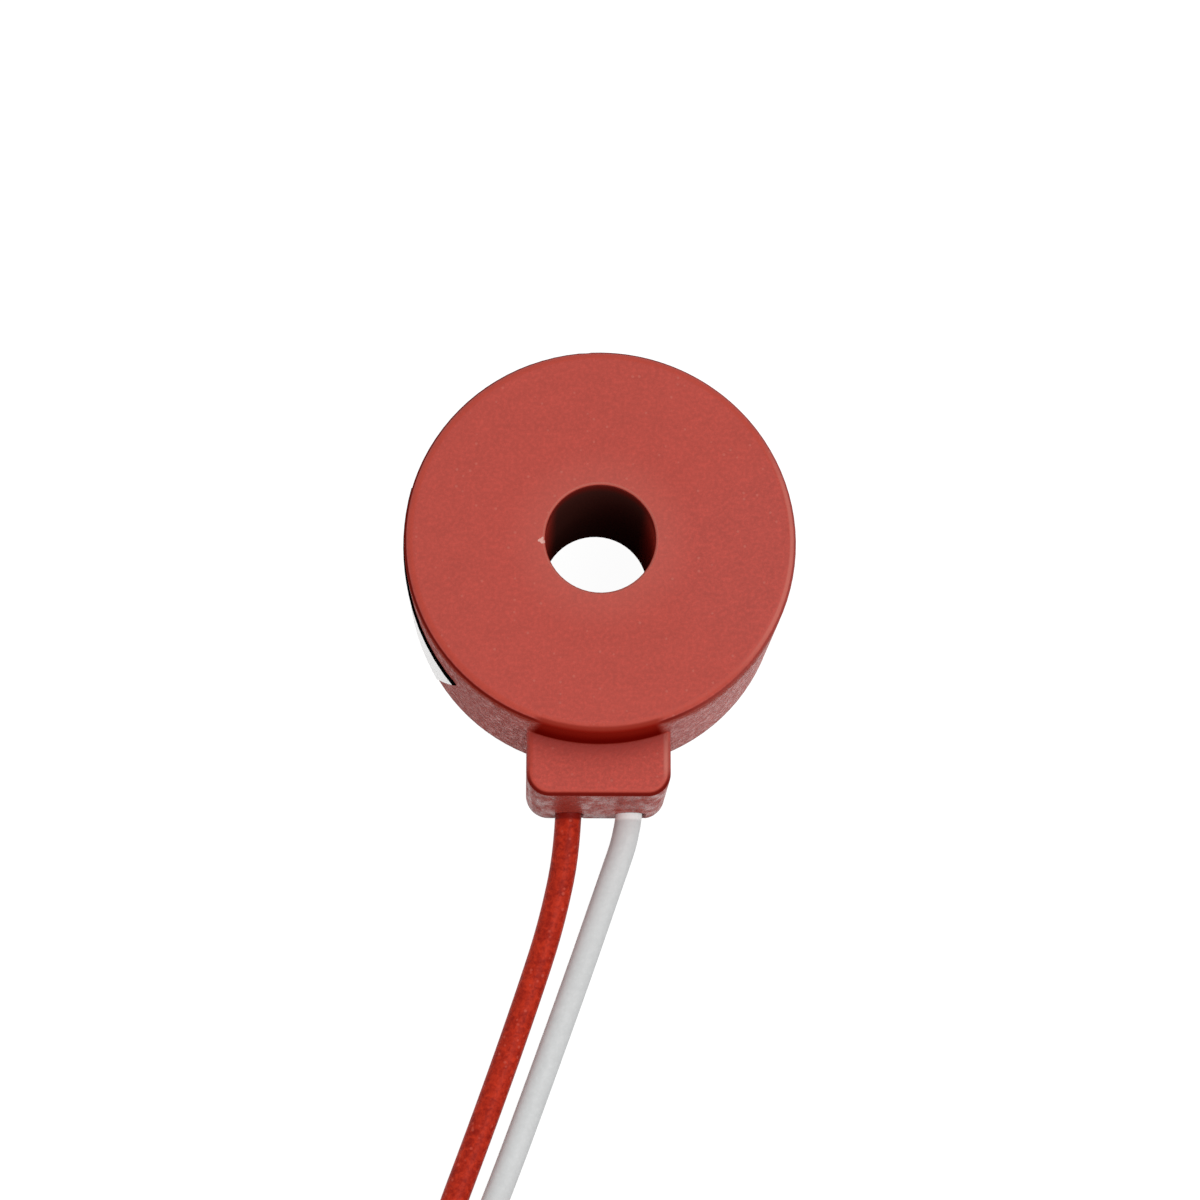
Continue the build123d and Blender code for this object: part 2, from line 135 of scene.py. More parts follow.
# %% [markdown]
# ## The two leads
#
# Each lead is thin stranded wire in soft plastic insulation. It leaves its slot level and droops to the bench
# in an easy curve, and its spare length is wound into a small coil under a tie. A route is given as offsets
# from the point where the lead comes out, in millimetres, and it is the route that the solids have, so that
# the leads lie where they did.

# %% Routes of the leads, in millimetres
LEAD_X = {"red": -1.4, "white": 1.9}
LEAD_Z = 1.5
ROUTES = {
    "red": [(0, -1.3, 0), (-0.85, -5.53, -0.8), (-2.05, -9.33, -0.8), (-4.2, -15.53, -0.8)],
    "white": [(0, -0.4, 0), (-1.24, -3.93, -0.55), (-2.62, -7.93, -0.8), (-4.2, -12.33, -0.8),
              (-5.8, -16.73, -0.8), (-6.96, -19.79, -0.75)],
}
ENTRY = {"red": 170, "white": 158}
RUN_ON = {"red": 5.0, "white": 3.2}
STUB = 5.2
LAST_TURN = {"red": 76, "white": 84}
LAYER_Z = {"red": 1.0, "white": 2.4}
COIL_R = 8.9
EASE_FROM, EASE_TO = 270, 345
WHOLE_TURNS = 2
POINTS_PER_TURN = 24
SMOOTHNESS = 8
print("spare length in", WHOLE_TURNS, "whole turns and", LAST_TURN, "degrees")


# %% [markdown]
# ## Turns of the coils
#
# The turns are more points of the same route, worked out by a loop. The outer turn eases in to the next one
# over a short stretch, as wound wire does. A smooth curve of order 3 only touches the middle of each line
# between two points, so a ring of points gives a ring that is slightly too small. Each point is moved out by
# just as much as that takes away, which is the division by a cosine.

# %% Turns of the coils
def coil_points(colour):
    """Points of the straight run on to the coil and of its turns."""
    low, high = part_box(f"{colour}_lead_coil")
    middle = (low + high) / 2 / MM
    height = LAYER_Z[colour]
    entry = math.radians(ENTRY[colour])
    touch = middle + COIL_R * Vector((math.cos(entry), math.sin(entry), 0))
    towards = Vector((math.sin(entry), -math.cos(entry), 0))
    points = [touch + towards * (STUB + RUN_ON[colour]), touch + towards * STUB]
    whole = 360 * WHOLE_TURNS + LAST_TURN[colour]
    count = round(whole / 360 * POINTS_PER_TURN)
    step = whole / count
    for index in range(count + 1):
        turned = min((index + 0.5) * step, whole)
        eased = min(max((turned % 360 - EASE_FROM) / (EASE_TO - EASE_FROM), 0), 1)
        radius = COIL_R - lead_d * (turned // 360 + eased * eased * (3 - 2 * eased))
        if index < count:
            radius /= math.cos(math.radians(step / 2))
        angle = entry + math.radians(turned)
        points.append(middle + radius * Vector((math.cos(angle), math.sin(angle), 0)))
    return [Vector((point.x, point.y, height)) for point in points]


print("points for the coils", {colour: len(coil_points(colour)) for colour in ROUTES})


# %% [markdown]
# ## Laying the leads
#
# A lead made of cylinders would show its joints, so it is one NURBS curve with a round bevel, and its order
# is set after its points are added. The bevel has a depth of 1 and each point carries the real radius. Then
# the solids that the lead stands for are hidden.

# %% The leads as curves
CURVE_ORDER = 3


def lay_lead(colour):
    """One free lead, as a round NURBS curve on its whole route."""
    inner_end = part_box(f"{colour}_lead")[1].y / MM
    exit_point = Vector((LEAD_X[colour], block_end, LEAD_Z))
    route = [Vector((LEAD_X[colour], inner_end, LEAD_Z))]
    route += [exit_point + Vector(offset) for offset in ROUTES[colour]]
    route += coil_points(colour)
    curve = bpy.data.curves.new(f"{colour}_flying_lead", "CURVE")
    curve.dimensions = "3D"
    spline = curve.splines.new("NURBS")
    spline.points.add(len(route) - 1)
    for point, place in zip(spline.points, route):
        point.co = (*(place * MM), 1)
        point.radius = lead_d / 2 * MM
    spline.order_u = CURVE_ORDER
    spline.use_endpoint_u = True
    spline.resolution_u = SMOOTHNESS
    curve.resolution_u = SMOOTHNESS
    curve.bevel_depth = 1
    curve.bevel_resolution = SMOOTHNESS
    curve.use_fill_caps = True
    lead = bpy.data.objects.new(f"{colour}_flying_lead", curve)
    bpy.context.scene.collection.objects.link(lead)
    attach(lead, "root")
    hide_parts(f"{colour}_lead", f"{colour}_lead_coil")
    return lead


leads = {colour: lay_lead(colour) for colour in ("red", "white")}
print("leads", {colour: len(lead.data.splines[0].points) for colour, lead in leads.items()}, "points")


# %% [markdown]
# ## A small language for finishes
#
# Every finish below is a node tree. Wiring nodes one by one hides the idea behind it, so we wrap an output
# socket in a class that knows the usual signs: a sum or a product of two sockets adds the Math node for it.
# Sockets that stay the same all over the surface are plain numbers.

# %% Sockets that add up
class Wire:
    """An output socket that can be used in sums, products and powers."""

    def __init__(self, nodes, socket):
        self.nodes = nodes
        self.socket = socket

    def math(self, operation, *values):
        inputs = dict(enumerate((self, *values)))
        return self.nodes.add("ShaderNodeMath", {"operation": operation}, inputs)

    def __add__(self, other):
        return self.math("ADD", other)

    def __sub__(self, other):
        return self.math("SUBTRACT", other)

    def __rsub__(self, other):
        return self.nodes.add("ShaderNodeMath", {"operation": "SUBTRACT"}, {0: other, 1: self})

    def __mul__(self, other):
        return self.math("MULTIPLY", other)

    def __truediv__(self, other):
        return self.math("DIVIDE", other)

    def __pow__(self, other):
        return self.math("POWER", other)

    def __abs__(self):
        return self.math("ABSOLUTE")

    __radd__ = __add__
    __rmul__ = __mul__

    def at_least(self, other):
        return self.math("MAXIMUM", other)

    def at_most(self, other):
        return self.math("MINIMUM", other)


print("sockets now take + - * / ** and abs, and can be kept at_least or at_most a value")


# %% [markdown]
# ## Steps, bands and mixes
#
# Three helpers do most of the drawing. A step is 0 on one side and 1 on the other, with a soft change
# between. A band is two steps. A mix lays one colour over another by such a mask. Hard edges could be drawn
# with a plain comparison, but they look cut out, so all of ours are soft. The helpers work in any node tree,
# and the materials, the floor and the world share them.

# %% Nodes in a tree
def colour_of(value):
    """A colour as its socket wants it."""
    return value if isinstance(value, Wire) else (*value, 1)[:4]


class NodeMaths:
    """Adds nodes to a tree, with wires or plain values on their sockets."""

    def __init__(self, tree):
        self.tree = tree

    def add(self, kind, settings=None, inputs=None, out=0):
        """Any node: its settings first, then the values or wires of its sockets."""
        node = self.tree.nodes.new(kind)
        for name, value in (settings or {}).items():
            setattr(node, name, value)
        for key, value in (inputs or {}).items():
            self.feed(node.inputs[key], value)
        return Wire(self, node.outputs[out])

    def feed(self, socket, value):
        if isinstance(value, Wire):
            self.tree.links.new(value.socket, socket)
        else:
            socket.default_value = value

    def step(self, value, low, high):
        """0 below low, 1 above high, and a soft change between them."""
        settings = {"interpolation_type": "SMOOTHSTEP", "clamp": True}
        inputs = {"Value": value, "From Min": low, "From Max": high}
        return self.add("ShaderNodeMapRange", settings, inputs)

    def band(self, value, low, high, soft):
        """1 between low and high."""
        return self.step(value, low - soft, low + soft) * (1 - self.step(value, high - soft, high + soft))

    def mix(self, share, first, second, how="MIX"):
        """Colours mixed by a share, or multiplied where how says so."""
        inputs = {0: share, 6: colour_of(first), 7: colour_of(second)}
        return self.add("ShaderNodeMix", {"data_type": "RGBA", "blend_type": how}, inputs, out=2)

    def grey(self, tone):
        """A colour from one number, for multiplying other colours."""
        return self.add("ShaderNodeCombineColor", {}, {0: tone, 1: tone, 2: tone})

    def angle(self, upright, level):
        """The direction from the origin to a point, in radians."""
        return self.add("ShaderNodeMath", {"operation": "ARCTAN2"}, {0: upright, 1: level})


print("helpers for any tree:", ", ".join(name for name in vars(NodeMaths) if name[0] != "_"))


# %% [markdown]
# ## Patterns that stay on the part
#
# Nothing on this part needs an unwrapped surface. Patterns read Object coordinates, and the solids are never
# moved, so those are the part's own millimetres once they are multiplied by 1000. Noise gives clouds and
# grain. Specks are drawn in the cells of a lattice, and each cell draws a lot that says whether it has one.

# %% Noise and specks in millimetres
class Patterns(NodeMaths):
    """The place on the part, and what can be drawn from it."""

    def __init__(self, tree):
        super().__init__(tree)
        place = self.add("ShaderNodeTexCoord", out="Object")
        self.place = self.add("ShaderNodeVectorMath", {"operation": "SCALE"}, {0: place, "Scale": 1 / MM})
        self.x, self.y, self.z = (self.add("ShaderNodeSeparateXYZ", {}, {0: self.place}, out=axis)
                                  for axis in "XYZ")

    def from_axis(self):
        """How far a point is from the axis of the hole."""
        return (self.x ** 2 + self.y ** 2) ** 0.5

    def stretched(self, scale):
        """Place with each axis stretched, for streaks."""
        return self.add("ShaderNodeMapping", {"vector_type": "POINT"}, {0: self.place, "Scale": scale})

    def noise(self, per_mm, detail=2.0, rough=0.5, place=None, twist=0.0):
        """Cloudy noise from 0 to 1, with about per_mm lumps in a millimetre."""
        inputs = {"Vector": place or self.place, "Scale": per_mm, "Detail": detail, "Roughness": rough,
                  "Distortion": twist}
        return self.add("ShaderNodeTexNoise", {"noise_dimensions": "3D"}, inputs, out="Fac")

    def specks(self, per_mm, size, share):
        """Small round specks in a share of the cells of a lattice."""
        inputs = {"Vector": self.place, "Scale": per_mm}
        near = self.add("ShaderNodeTexVoronoi", {}, inputs, out="Distance")
        chance = self.add("ShaderNodeTexVoronoi", {}, inputs, out="Color")
        lot = self.add("ShaderNodeSeparateColor", {}, {0: chance}, out=0)
        speck = 1 - self.step(near, size / 2, size)
        return speck * self.step(lot, 1 - share, 1 - share * 0.8)


print("patterns are measured in millimetres: place times", round(1 / MM))


# %% [markdown]
# ## A finish and its two layers
#
# A finish is one material. Its main layer has colour, roughness, bump and shine. A second layer without any
# shine can be mixed in by a mask, for printed ink and for places that little light gets to. Painting such a
# place dark in the main layer would leave its shine, and that is what gives a painted shadow away.

# %% Finish
DULL_ROUGH = 0.8


class Finish(Patterns):
    """A material that is written as expressions."""

    def __init__(self, name):
        self.material = bpy.data.materials.new(name)
        self.material.use_nodes = True
        super().__init__(self.material.node_tree)
        self.shader = self.tree.nodes["Principled BSDF"]

    def bump(self, height, depth_mm):
        """Normals from a height that goes from 0 to 1 over a depth."""
        inputs = {"Height": height, "Distance": depth_mm * MM, "Strength": 1.0}
        self.feed(self.shader.inputs["Normal"], self.add("ShaderNodeBump", {}, inputs))

    def veil(self, share, base):
        """Lay a dull second finish over the first one, where share is 1."""
        looks = {"Base Color": colour_of(base), "Roughness": DULL_ROUGH, "Specular IOR Level": 0.0}
        dull = self.add("ShaderNodeBsdfPrincipled", {}, looks)
        main = Wire(self, self.shader.outputs[0])
        both = self.add("ShaderNodeMixShader", {}, {0: share, 1: main, 2: dull})
        self.feed(self.tree.nodes["Material Output"].inputs["Surface"], both)

    def done(self, base, roughness, **constants):
        """Wire up what changes over the surface, and set what doesn't."""
        self.feed(self.shader.inputs["Base Color"], base)
        self.feed(self.shader.inputs["Roughness"], roughness)
        for name, value in constants.items():
            self.shader.inputs[name.replace("_", " ")].default_value = value
        return self.material


def dress(names, material):
    """Give CAD nodes or pieces a material, whatever they had."""
    for name in names:
        data = bpy.data.objects[name].data
        data.materials.clear()
        data.materials.append(material)
    print(material.name, "on", ", ".join(names))


print("the dull layer has a roughness of", DULL_ROUGH)


# %% [markdown]
# ## Shapes of the red moulding
#
# The case is a round cup with a block on its side for the leads, and all its outer edges are slightly
# rounded. The roundings catch the light in their own way, so the finish has to know where they are. They
# could be chosen as faces, but the solid is loose triangles, and a pattern should fade over them. So two
# short formulas give the place across a rounded edge, and how deep a point lies inside the block's outline.

# %% Rounded edges and the block's outline
EDGE_R = 0.5
WALL_DRAFT = 0.1
BLOCK_TOP = 7.8
BLOCK_HALF = 3.7
BLOCK_CORNER = 1.2
BLOCK_EDGE = 0.35


def round_edge(depth, height, radius):
    """Where we are on a rounded edge: -1 on the top, 0 at the middle of the rounding, 1 on the side."""
    side = (1 - depth / radius).at_least(0).at_most(1)
    top = (height / radius + 1).at_least(0).at_most(1)
    return side - top


def block_depth(finish):
    """How far inside the lead block's outline a point is, seen from above."""
    across = abs(finish.x) - (BLOCK_HALF - BLOCK_CORNER)
    along = (block_end + BLOCK_CORNER) - finish.y
    corner = (across.at_least(0) ** 2 + along.at_least(0) ** 2) ** 0.5
    flat = across.at_least(along).at_most(0)
    return BLOCK_CORNER - corner - flat


print("block", 2 * BLOCK_HALF, "mm wide,", BLOCK_TOP, "mm high")


# %% [markdown]
# ## Places on the red moulding
#
# The moulding doesn't look the same all over: the face is matt, rounded edges are a brighter red, the walls
# catch more of the bright room, and the end wall of the block is glossier still. Each region could have its
# own material, but the solid is one mesh and the regions run softly into each other. So we give each place a
# number that goes from 0 to 1 and mix the looks by them. The pattern then stays with the part.

# %% Where a point is on the case
BLOCK_STARTS = {"low": 0.02, "high": 0.12}
ABOVE_BLOCK = {"low": BLOCK_TOP - 0.1, "high": BLOCK_TOP}
SIDE_STARTS = {"low": 0.7, "high": 1.0}
END_WALL, END_FADES = 0.6, 1.6


class CasePlaces:
    """Where on the case a point is."""

    def __init__(self, finish):
        self.radius = finish.from_axis()
        self.rightwards = finish.x / self.radius
        self.from_wall = self.radius - finish.z * (WALL_DRAFT / case_top) - (case_r - WALL_DRAFT)
        self.on_block = finish.step(self.from_wall, **BLOCK_STARTS)
        self.on_ring = 1 - self.on_block
        self.above_block = finish.step(finish.z, **ABOVE_BLOCK)
        self.in_block = block_depth(finish)
        self.front = round_edge(-1 * self.from_wall, finish.z - case_top, EDGE_R)
        self.block = round_edge(self.in_block, finish.z - BLOCK_TOP, BLOCK_EDGE)
        self.edge = self.front * self.on_ring + self.block * self.on_block
        self.side = finish.step(self.edge, **SIDE_STARTS)
        self.end = self.on_block * (1 - finish.step(finish.y, block_end + END_WALL, block_end + END_FADES))


print("the end wall's look reaches", END_FADES, "mm in from the block's end")


# %% [markdown]
# ## Grain of the moulding
#
# A mould for such a case has a fine spark-eroded texture, and its plastic is filled. Close to, it isn't one
# red: it has a fine grain, faint clouds where the melt flowed, and a few pale specks. One noise texture can't
# be fine and cloudy at once, so four of different sizes are made. The walls get a coarser grit of their own.
# It is stretched a little along the height, because walls are drawn in that direction when the part comes out
# of the mould.

# %% Patterns in the plastic
GRIT_STRETCH = (1, 1, 0.6)
STREAK_STRETCH = (1, 1, 0.35)


class Grain:
    """The patterns that the mould and the melt leave."""

    def __init__(self, finish):
        grit = finish.noise(3.0, detail=4, rough=0.75, place=finish.stretched(GRIT_STRETCH))
        streaks = finish.noise(1.6, detail=3, rough=0.6, place=finish.stretched(STREAK_STRETCH))
        self.fine = finish.step(finish.noise(5.0, detail=3, rough=0.7), low=0.35, high=0.8)
        self.mottle = finish.noise(2.0, detail=2, rough=0.5)
        self.cloud = finish.noise(0.9, detail=3, rough=0.55)
        self.drift = finish.noise(0.16, detail=2, rough=0.5)
        self.grit = finish.step(grit, low=0.3, high=0.7)
        self.streaks = finish.step(streaks, low=0.35, high=0.65)
        self.flecks = finish.specks(3.0, size=0.28, share=0.12)


print("grit is stretched", round(1 / GRIT_STRETCH[2], 1), "times and streaks",
      round(1 / STREAK_STRETCH[2], 1), "times along the height")


# %% [markdown]
# ## Tone of the moulding
#
# The patterns could each tint the red in turn, but then it is hard to say how bright the result is. Instead
# they are added into one tone that stays near 1, and the red is multiplied by it once. On the walls the grit
# joins in and the tone is lower, as painted shade, with the side to the right a little brighter, as painted
# light from the lamp on that side. The block's end wall is painted darker still. On top of the block the
# tone is higher, as painted light.

# %% Tone from the patterns
FINE_SHARE, MOTTLE_SHARE, CLOUD_SHARE, DRIFT_SHARE = 0.34, 0.14, 0.20, 0.14
TONE_LEAST = 0.64
WALL_GRIT, WALL_PAINTED_SHADE, END_PAINTED_SHADE = 0.35, 0.24, 0.10
RIGHT_PAINTED_LIGHT = 0.006
BLOCK_GRAIN, BLOCK_PAINTED_LIGHT = 0.2, 0.09


def tone_with_painted_light(finish, at, grain):
    """How bright the red is: about 1, with painted shade on the walls and painted light on top of the block.
    """
    tone = grain.fine * FINE_SHARE + grain.mottle * MOTTLE_SHARE
    tone = tone + grain.cloud * CLOUD_SHARE + grain.drift * DRIFT_SHARE + TONE_LEAST
    # Painted shade on the walls, lighter to the right as painted light, and the end wall painted darker, over
    # the real grit.
    on_walls = grain.grit * WALL_GRIT + finish.x * RIGHT_PAINTED_LIGHT - WALL_PAINTED_SHADE - at.end * END_PAINTED_SHADE
    # Painted light on top of the block, over its grain.
    block_top_grain_and_light = at.on_block * (1 - at.side) * (grain.fine * BLOCK_GRAIN + BLOCK_PAINTED_LIGHT)
    return tone + at.side * on_walls + block_top_grain_and_light


shares = FINE_SHARE + MOTTLE_SHARE + CLOUD_SHARE + DRIFT_SHARE
print("tone on the face from", TONE_LEAST, "to", round(TONE_LEAST + shares, 2))


# %% [markdown]
# ## Edges that catch the light
#
# On a moulding the rounded edges show first. They are a brighter red, with a pale line where they face the
# light. The solid's roundings are only a few facets wide, too few for a smooth highlight, so both are drawn
# as bands across the edge.

# %% Lit edges
RED = (0.50, 0.067, 0.049)
RED_PALE = (0.62, 0.17, 0.13)
RED_DEEP = (0.13, 0.006, 0.003)
RED_BRIGHT = (0.52, 0.052, 0.026)
LIT_SIDE = {"low": 0.74, "high": 0.98}
LIT_TURN, RING_LIGHT = 0.12, 0.7
BLOCK_LIT_FROM, BLOCK_LIT_TO = 0.7, 0.4
BRIGHT_BAND, BRIGHT_SHARE = {"low": -0.95, "high": -0.15, "soft": 0.2}, 0.6
PALE_BAND, PALE_SHARE = {"low": -0.62, "high": -0.02, "soft": 0.16}, 0.9
BLOCK_PALE_BAND = {"low": 0.12, "high": 0.37, "soft": 0.08}


def light_edges(finish, at, skin):
    """Brighter red on the rounded edges, and a pale line along those that face the light."""
    towards_light = finish.step(at.rightwards - finish.y / at.radius * LIT_TURN, **LIT_SIDE)
    block_right = finish.step(finish.x, BLOCK_HALF - BLOCK_LIT_FROM, BLOCK_HALF - BLOCK_LIT_TO)
    lit = towards_light * at.on_ring * RING_LIGHT + block_right * (at.on_block - at.end)
    bright = finish.band(at.edge, **BRIGHT_BAND) * (1 - lit) * BRIGHT_SHARE
    skin = finish.mix(bright, skin, RED_BRIGHT)
    pale = finish.band(at.front, **PALE_BAND) * at.on_ring
    pale = pale + finish.band(at.in_block, **BLOCK_PALE_BAND) * at.on_block
    return finish.mix(pale * lit * PALE_SHARE, skin, RED_PALE)


print("the light falls on the right, over", LIT_SIDE["low"], "of the way out")


# %% [markdown]
# ## Painted shade in the corners
#
# Where the block meets the wall, and along the foot, the plastic looks deeper in colour, because each of the
# two surfaces shows the red of the other and less light gets in. Bounced light alone gives too little of that
# here, so the shade is painted: a deeper colour that fades away from the corner.

# %% Corners
BESIDE_WALL_SHADE = (0.21, 0.002, 0.001)
BESIDE_REACH = 1.7
BESIDE_GRAIN, BESIDE_LEAST = 0.3, 0.58
FOOT_RISE, FOOT_SHADE_SHARE = {"low": 0.15, "high": 0.7}, 0.5


def paint_corner_shade(finish, at, grain, skin):
    """Painted shade: deeper colour on the block beside the wall, and along the foot."""
    # Painted shade on the block beside the wall, mottled by the grain.
    near_wall = (1 - at.from_wall / BESIDE_REACH).at_least(0) ** 2
    beside = near_wall * at.on_block * at.above_block
    skin = finish.mix(beside * (grain.fine * BESIDE_GRAIN + BESIDE_LEAST), skin, BESIDE_WALL_SHADE)
    # Painted shade along the foot, next to the bench.
    foot = at.side * (1 - finish.step(finish.z, **FOOT_RISE))
    return finish.mix(foot * FOOT_SHADE_SHARE, skin, RED_DEEP)


print("deeper colour up to", BESIDE_REACH, "mm from the wall")


# %% [markdown]
# ## Painted light and flash round the hole
#
# A thin pale ring, a painted highlight, shows the edge of the hole, and the face is painted a little paler
# round it, as painted light. Small marks make a moulding believable, so a scrap of flash is left beside the
# hole. The flash has hardly any thickness, so it is drawn and not modelled. Noise makes its outline ragged.

# %% Painted light and flash
HOLE_HIGHLIGHT_BAND, HOLE_HIGHLIGHT_SHARE = {"low": bore_r + 0.03, "high": bore_r + 0.12, "soft": 0.03}, 0.8
HOLE_HIGHLIGHT_DEPTHS = {"low": case_top - 0.12, "high": case_top - 0.02}
PALER_REACH, PALER_SHARE = 2.4, 0.16
FLASH = (0.80, 0.42, 0.36)
FLASH_AT = (-2.98, -0.15)
FLASH_R, FLASH_SOFT_R, FLASH_RAGGED = 0.32, 0.38, 0.4
ON_FACE = {"low": case_top - 0.2, "high": case_top - 0.1}


def paint_hole_light_and_flash(finish, at, skin):
    """A painted highlight round the hole, painted light on the face about it, and the scrap of flash."""
    # Painted highlight along the edge of the hole.
    ring = finish.band(at.radius, **HOLE_HIGHLIGHT_BAND) * finish.step(finish.z, **HOLE_HIGHLIGHT_DEPTHS)
    skin = finish.mix(ring * HOLE_HIGHLIGHT_SHARE, skin, RED_PALE)
    # Painted light: the face a little paler round the hole.
    paler_round_hole = 1 - finish.step(at.radius, bore_r, bore_r + PALER_REACH)
    skin = finish.mix(paler_round_hole * PALER_SHARE * (1 - at.side), skin, RED_PALE)
    flash_x, flash_y = FLASH_AT
    away = ((finish.x - flash_x) ** 2 + (finish.y - flash_y) ** 2) ** 0.5
    away = away + finish.noise(7, detail=2) * FLASH_RAGGED
    scrap = 1 - finish.step(away, FLASH_R, FLASH_SOFT_R)
    return finish.mix(scrap * finish.step(finish.z, **ON_FACE), skin, FLASH)


print("flash", FLASH_AT, "mm from the middle of the hole")


# %% [markdown]
# ## Shade over the block
#
# The strip of wall just over the block is dark and has almost no shine. Our even light would fill it, and a
# lamp moved for its sake would spoil the rest. So the shade is part of the finish: a mask for the dull layer,
# and a colour that grows lighter towards the rim. The mask narrows upwards and its ends are soft, because
# from the side a hard end would look like paint.

# %% Shade on the wall over the block
OVER_LOW = (0.17, 0.003, 0.001)
OVER_MIDDLE = (0.31, 0.012, 0.006)
OVER_HIGH = (0.36, 0.036, 0.022)
OVER_RISE = {"low": BLOCK_TOP + 0.3, "high": case_top - 0.6}
OVER_ROUNDS = {"low": -0.1, "high": 0.7}
OVER_RIM = {"low": -0.6, "high": -0.1}
OVER_END = {"low": BLOCK_HALF - 0.55, "high": BLOCK_HALF + 0.1}
OVER_LEAN, OVER_NARROWS = 0.02, 0.12
LEAD_SIDE = {"low": -1, "high": 0}


def shade_over_block(finish, at):
    """Mask and colour of the wall over the block."""
    colour = finish.mix(finish.step(finish.z, **OVER_RISE), OVER_LOW, OVER_MIDDLE)
    colour = finish.mix(finish.step(at.front, **OVER_ROUNDS), OVER_HIGH, colour)
    above = at.on_ring * at.above_block * finish.step(at.front, **OVER_RIM)
    from_middle = abs(finish.x) + finish.x * OVER_LEAN + (finish.z - BLOCK_TOP) * OVER_NARROWS
    above = above * (1 - finish.step(from_middle, **OVER_END))
    return above * (1 - finish.step(finish.y, **LEAD_SIDE)), colour


print("shade over the block from", BLOCK_TOP, "to", round(case_top, 2), "mm")


# %% [markdown]
# ## Shade under the rim and on the edges
#
# Under the rounded rim the wall is darker in a narrow band, and so is the lower half of each rounded edge.
# The band is a mask like the last one. It reaches lower and is fainter on the side towards the light, and it
# fades from the rim's deep shade into the wall's own red.

# %% Shade under the rim
EDGE_SHADE = (0.17, 0.006, 0.003)
UNDER_RIM = (0.38, 0.034, 0.015)
RIM_BAND = {"low": case_top - 1.7, "high": case_top - 0.45}
RIM_SHADE = {"low": case_top - 0.65, "high": case_top - 0.2}
RIM_SHARE, RIM_LOWER, RIM_FAINTER = 0.80, 0.05, 0.02
FRONT_BAND = {"low": 0.10, "high": 0.84, "soft": 0.14}
FRONT_LIT, FRONT_FAINTER = {"low": 0.2, "high": 0.75}, 0.55
BLOCK_BAND = {"low": -0.35, "high": 0.85, "soft": 0.3}
BLOCK_LEAST, END_MORE = 0.3, 0.7


def shade_under_rim(finish, at, over):
    """Mask and colour of the band under the rim."""
    to_right = finish.x.at_least(0)
    mask = finish.step(finish.z + to_right * RIM_LOWER, **RIM_BAND) * at.on_ring * (1 - over)
    mask = mask * at.side * (RIM_SHARE - to_right * RIM_FAINTER)
    colour = finish.mix(finish.step(finish.z, **RIM_SHADE), UNDER_RIM, EDGE_SHADE)
    return mask, finish.mix(at.on_block, colour, EDGE_SHADE)


def shade_on_edges(finish, at):
    """Mask of the lower half of each rounded edge."""
    ring = finish.band(at.front, **FRONT_BAND) * at.on_ring
    ring = ring * (1 - finish.step(at.rightwards, **FRONT_LIT) * FRONT_FAINTER)
    return ring + finish.band(at.block, **BLOCK_BAND) * at.on_block * (at.end * END_MORE + BLOCK_LEAST)


print("shade under the rim from", round(RIM_BAND["low"], 2), "mm up")


# %% [markdown]
# ## Shade in the hole
#
# The hole looks almost black where we see its far wall, with a redder glow, painted light, at its sides
# and a dark red mouth.
# Left alone, its wall would be lit by the even light from above and by the pale bench below, so the dull
# layer darkens it. The mouth keeps a little shine, since some light falls in there.

# %% The hole
HOLE_MOUTH = (0.20, 0.014, 0.010)
HOLE_DEEP = (0.08, 0.022, 0.017)
HOLE_SIDE_LIGHT = (0.52, 0.042, 0.028)
HOLE_WALL = {"low": bore_r + 0.005, "high": bore_r + 0.03}
SIDE_GLOW = {"low": bore_r * 0.75, "high": bore_r * 1.05}
MOUTH_RISE, MOUTH_SHINE = {"low": case_top - 0.5, "high": case_top}, 0.15
MOUTH_COLOUR = {"low": case_top - 1.6, "high": case_top - 0.1}


def shade_in_hole(finish, at):
    """Where the inside of the hole is, how dull it is, and its painted shade, lighter at the sides."""
    inside = 1 - finish.step(at.radius, **HOLE_WALL)
    mask = inside * (1 - finish.step(finish.z, **MOUTH_RISE) * MOUTH_SHINE)
    # Painted shade in the hole, with painted light at its sides.
    colour = finish.mix(finish.step(abs(finish.x), **SIDE_GLOW), HOLE_DEEP, HOLE_SIDE_LIGHT)
    return inside, mask, finish.mix(finish.step(finish.z, **MOUTH_COLOUR), colour, HOLE_MOUTH)


print("the hole is", 2 * bore_r, "mm wide")


# %% [markdown]
# ## The shades, put together
#
# The darkest shade wins at each point, so the masks are joined with at_least and never added, because a sum
# could pass 1. On the block's end wall the dull layer is only about half there, in uneven streaks, which
# breaks up the wall's gloss.

# %% All shades of the case
EDGE_DULL = 0.95
END_DULL, END_STREAKS = 0.74, 0.28


def shade_case(finish, at, grain, skin):
    """Mix the dull layer in, wherever one of the shades is."""
    over, over_colour = shade_over_block(finish, at)
    under, under_colour = shade_under_rim(finish, at, over)
    inside, in_hole, hole_colour = shade_in_hole(finish, at)
    on_end = at.end * at.side
    colour = finish.mix(on_end, finish.mix(over, under_colour, over_colour), skin)
    dull = in_hole.at_least(shade_on_edges(finish, at) * EDGE_DULL).at_least(over)
    dull = dull.at_least(on_end * (END_DULL - grain.streaks * END_STREAKS)).at_least(under)
    finish.veil(dull, finish.mix(inside, colour, hole_colour))


print("dull share of the end wall from", round(END_DULL - END_STREAKS, 2), "to", END_DULL)


# %% [markdown]
# ## The finish of the case
#
# Now the parts meet: tone, specks, lit edges, painted corner shade, and the painted light and flash round the
# hole make the colour, and the shades go over it. The walls' grit is bump as well as colour, since a textured
# wall glitters with the light and a painted pattern doesn't. The grit is rougher in its pits than on its tops,
# and the end wall is the smoothest.

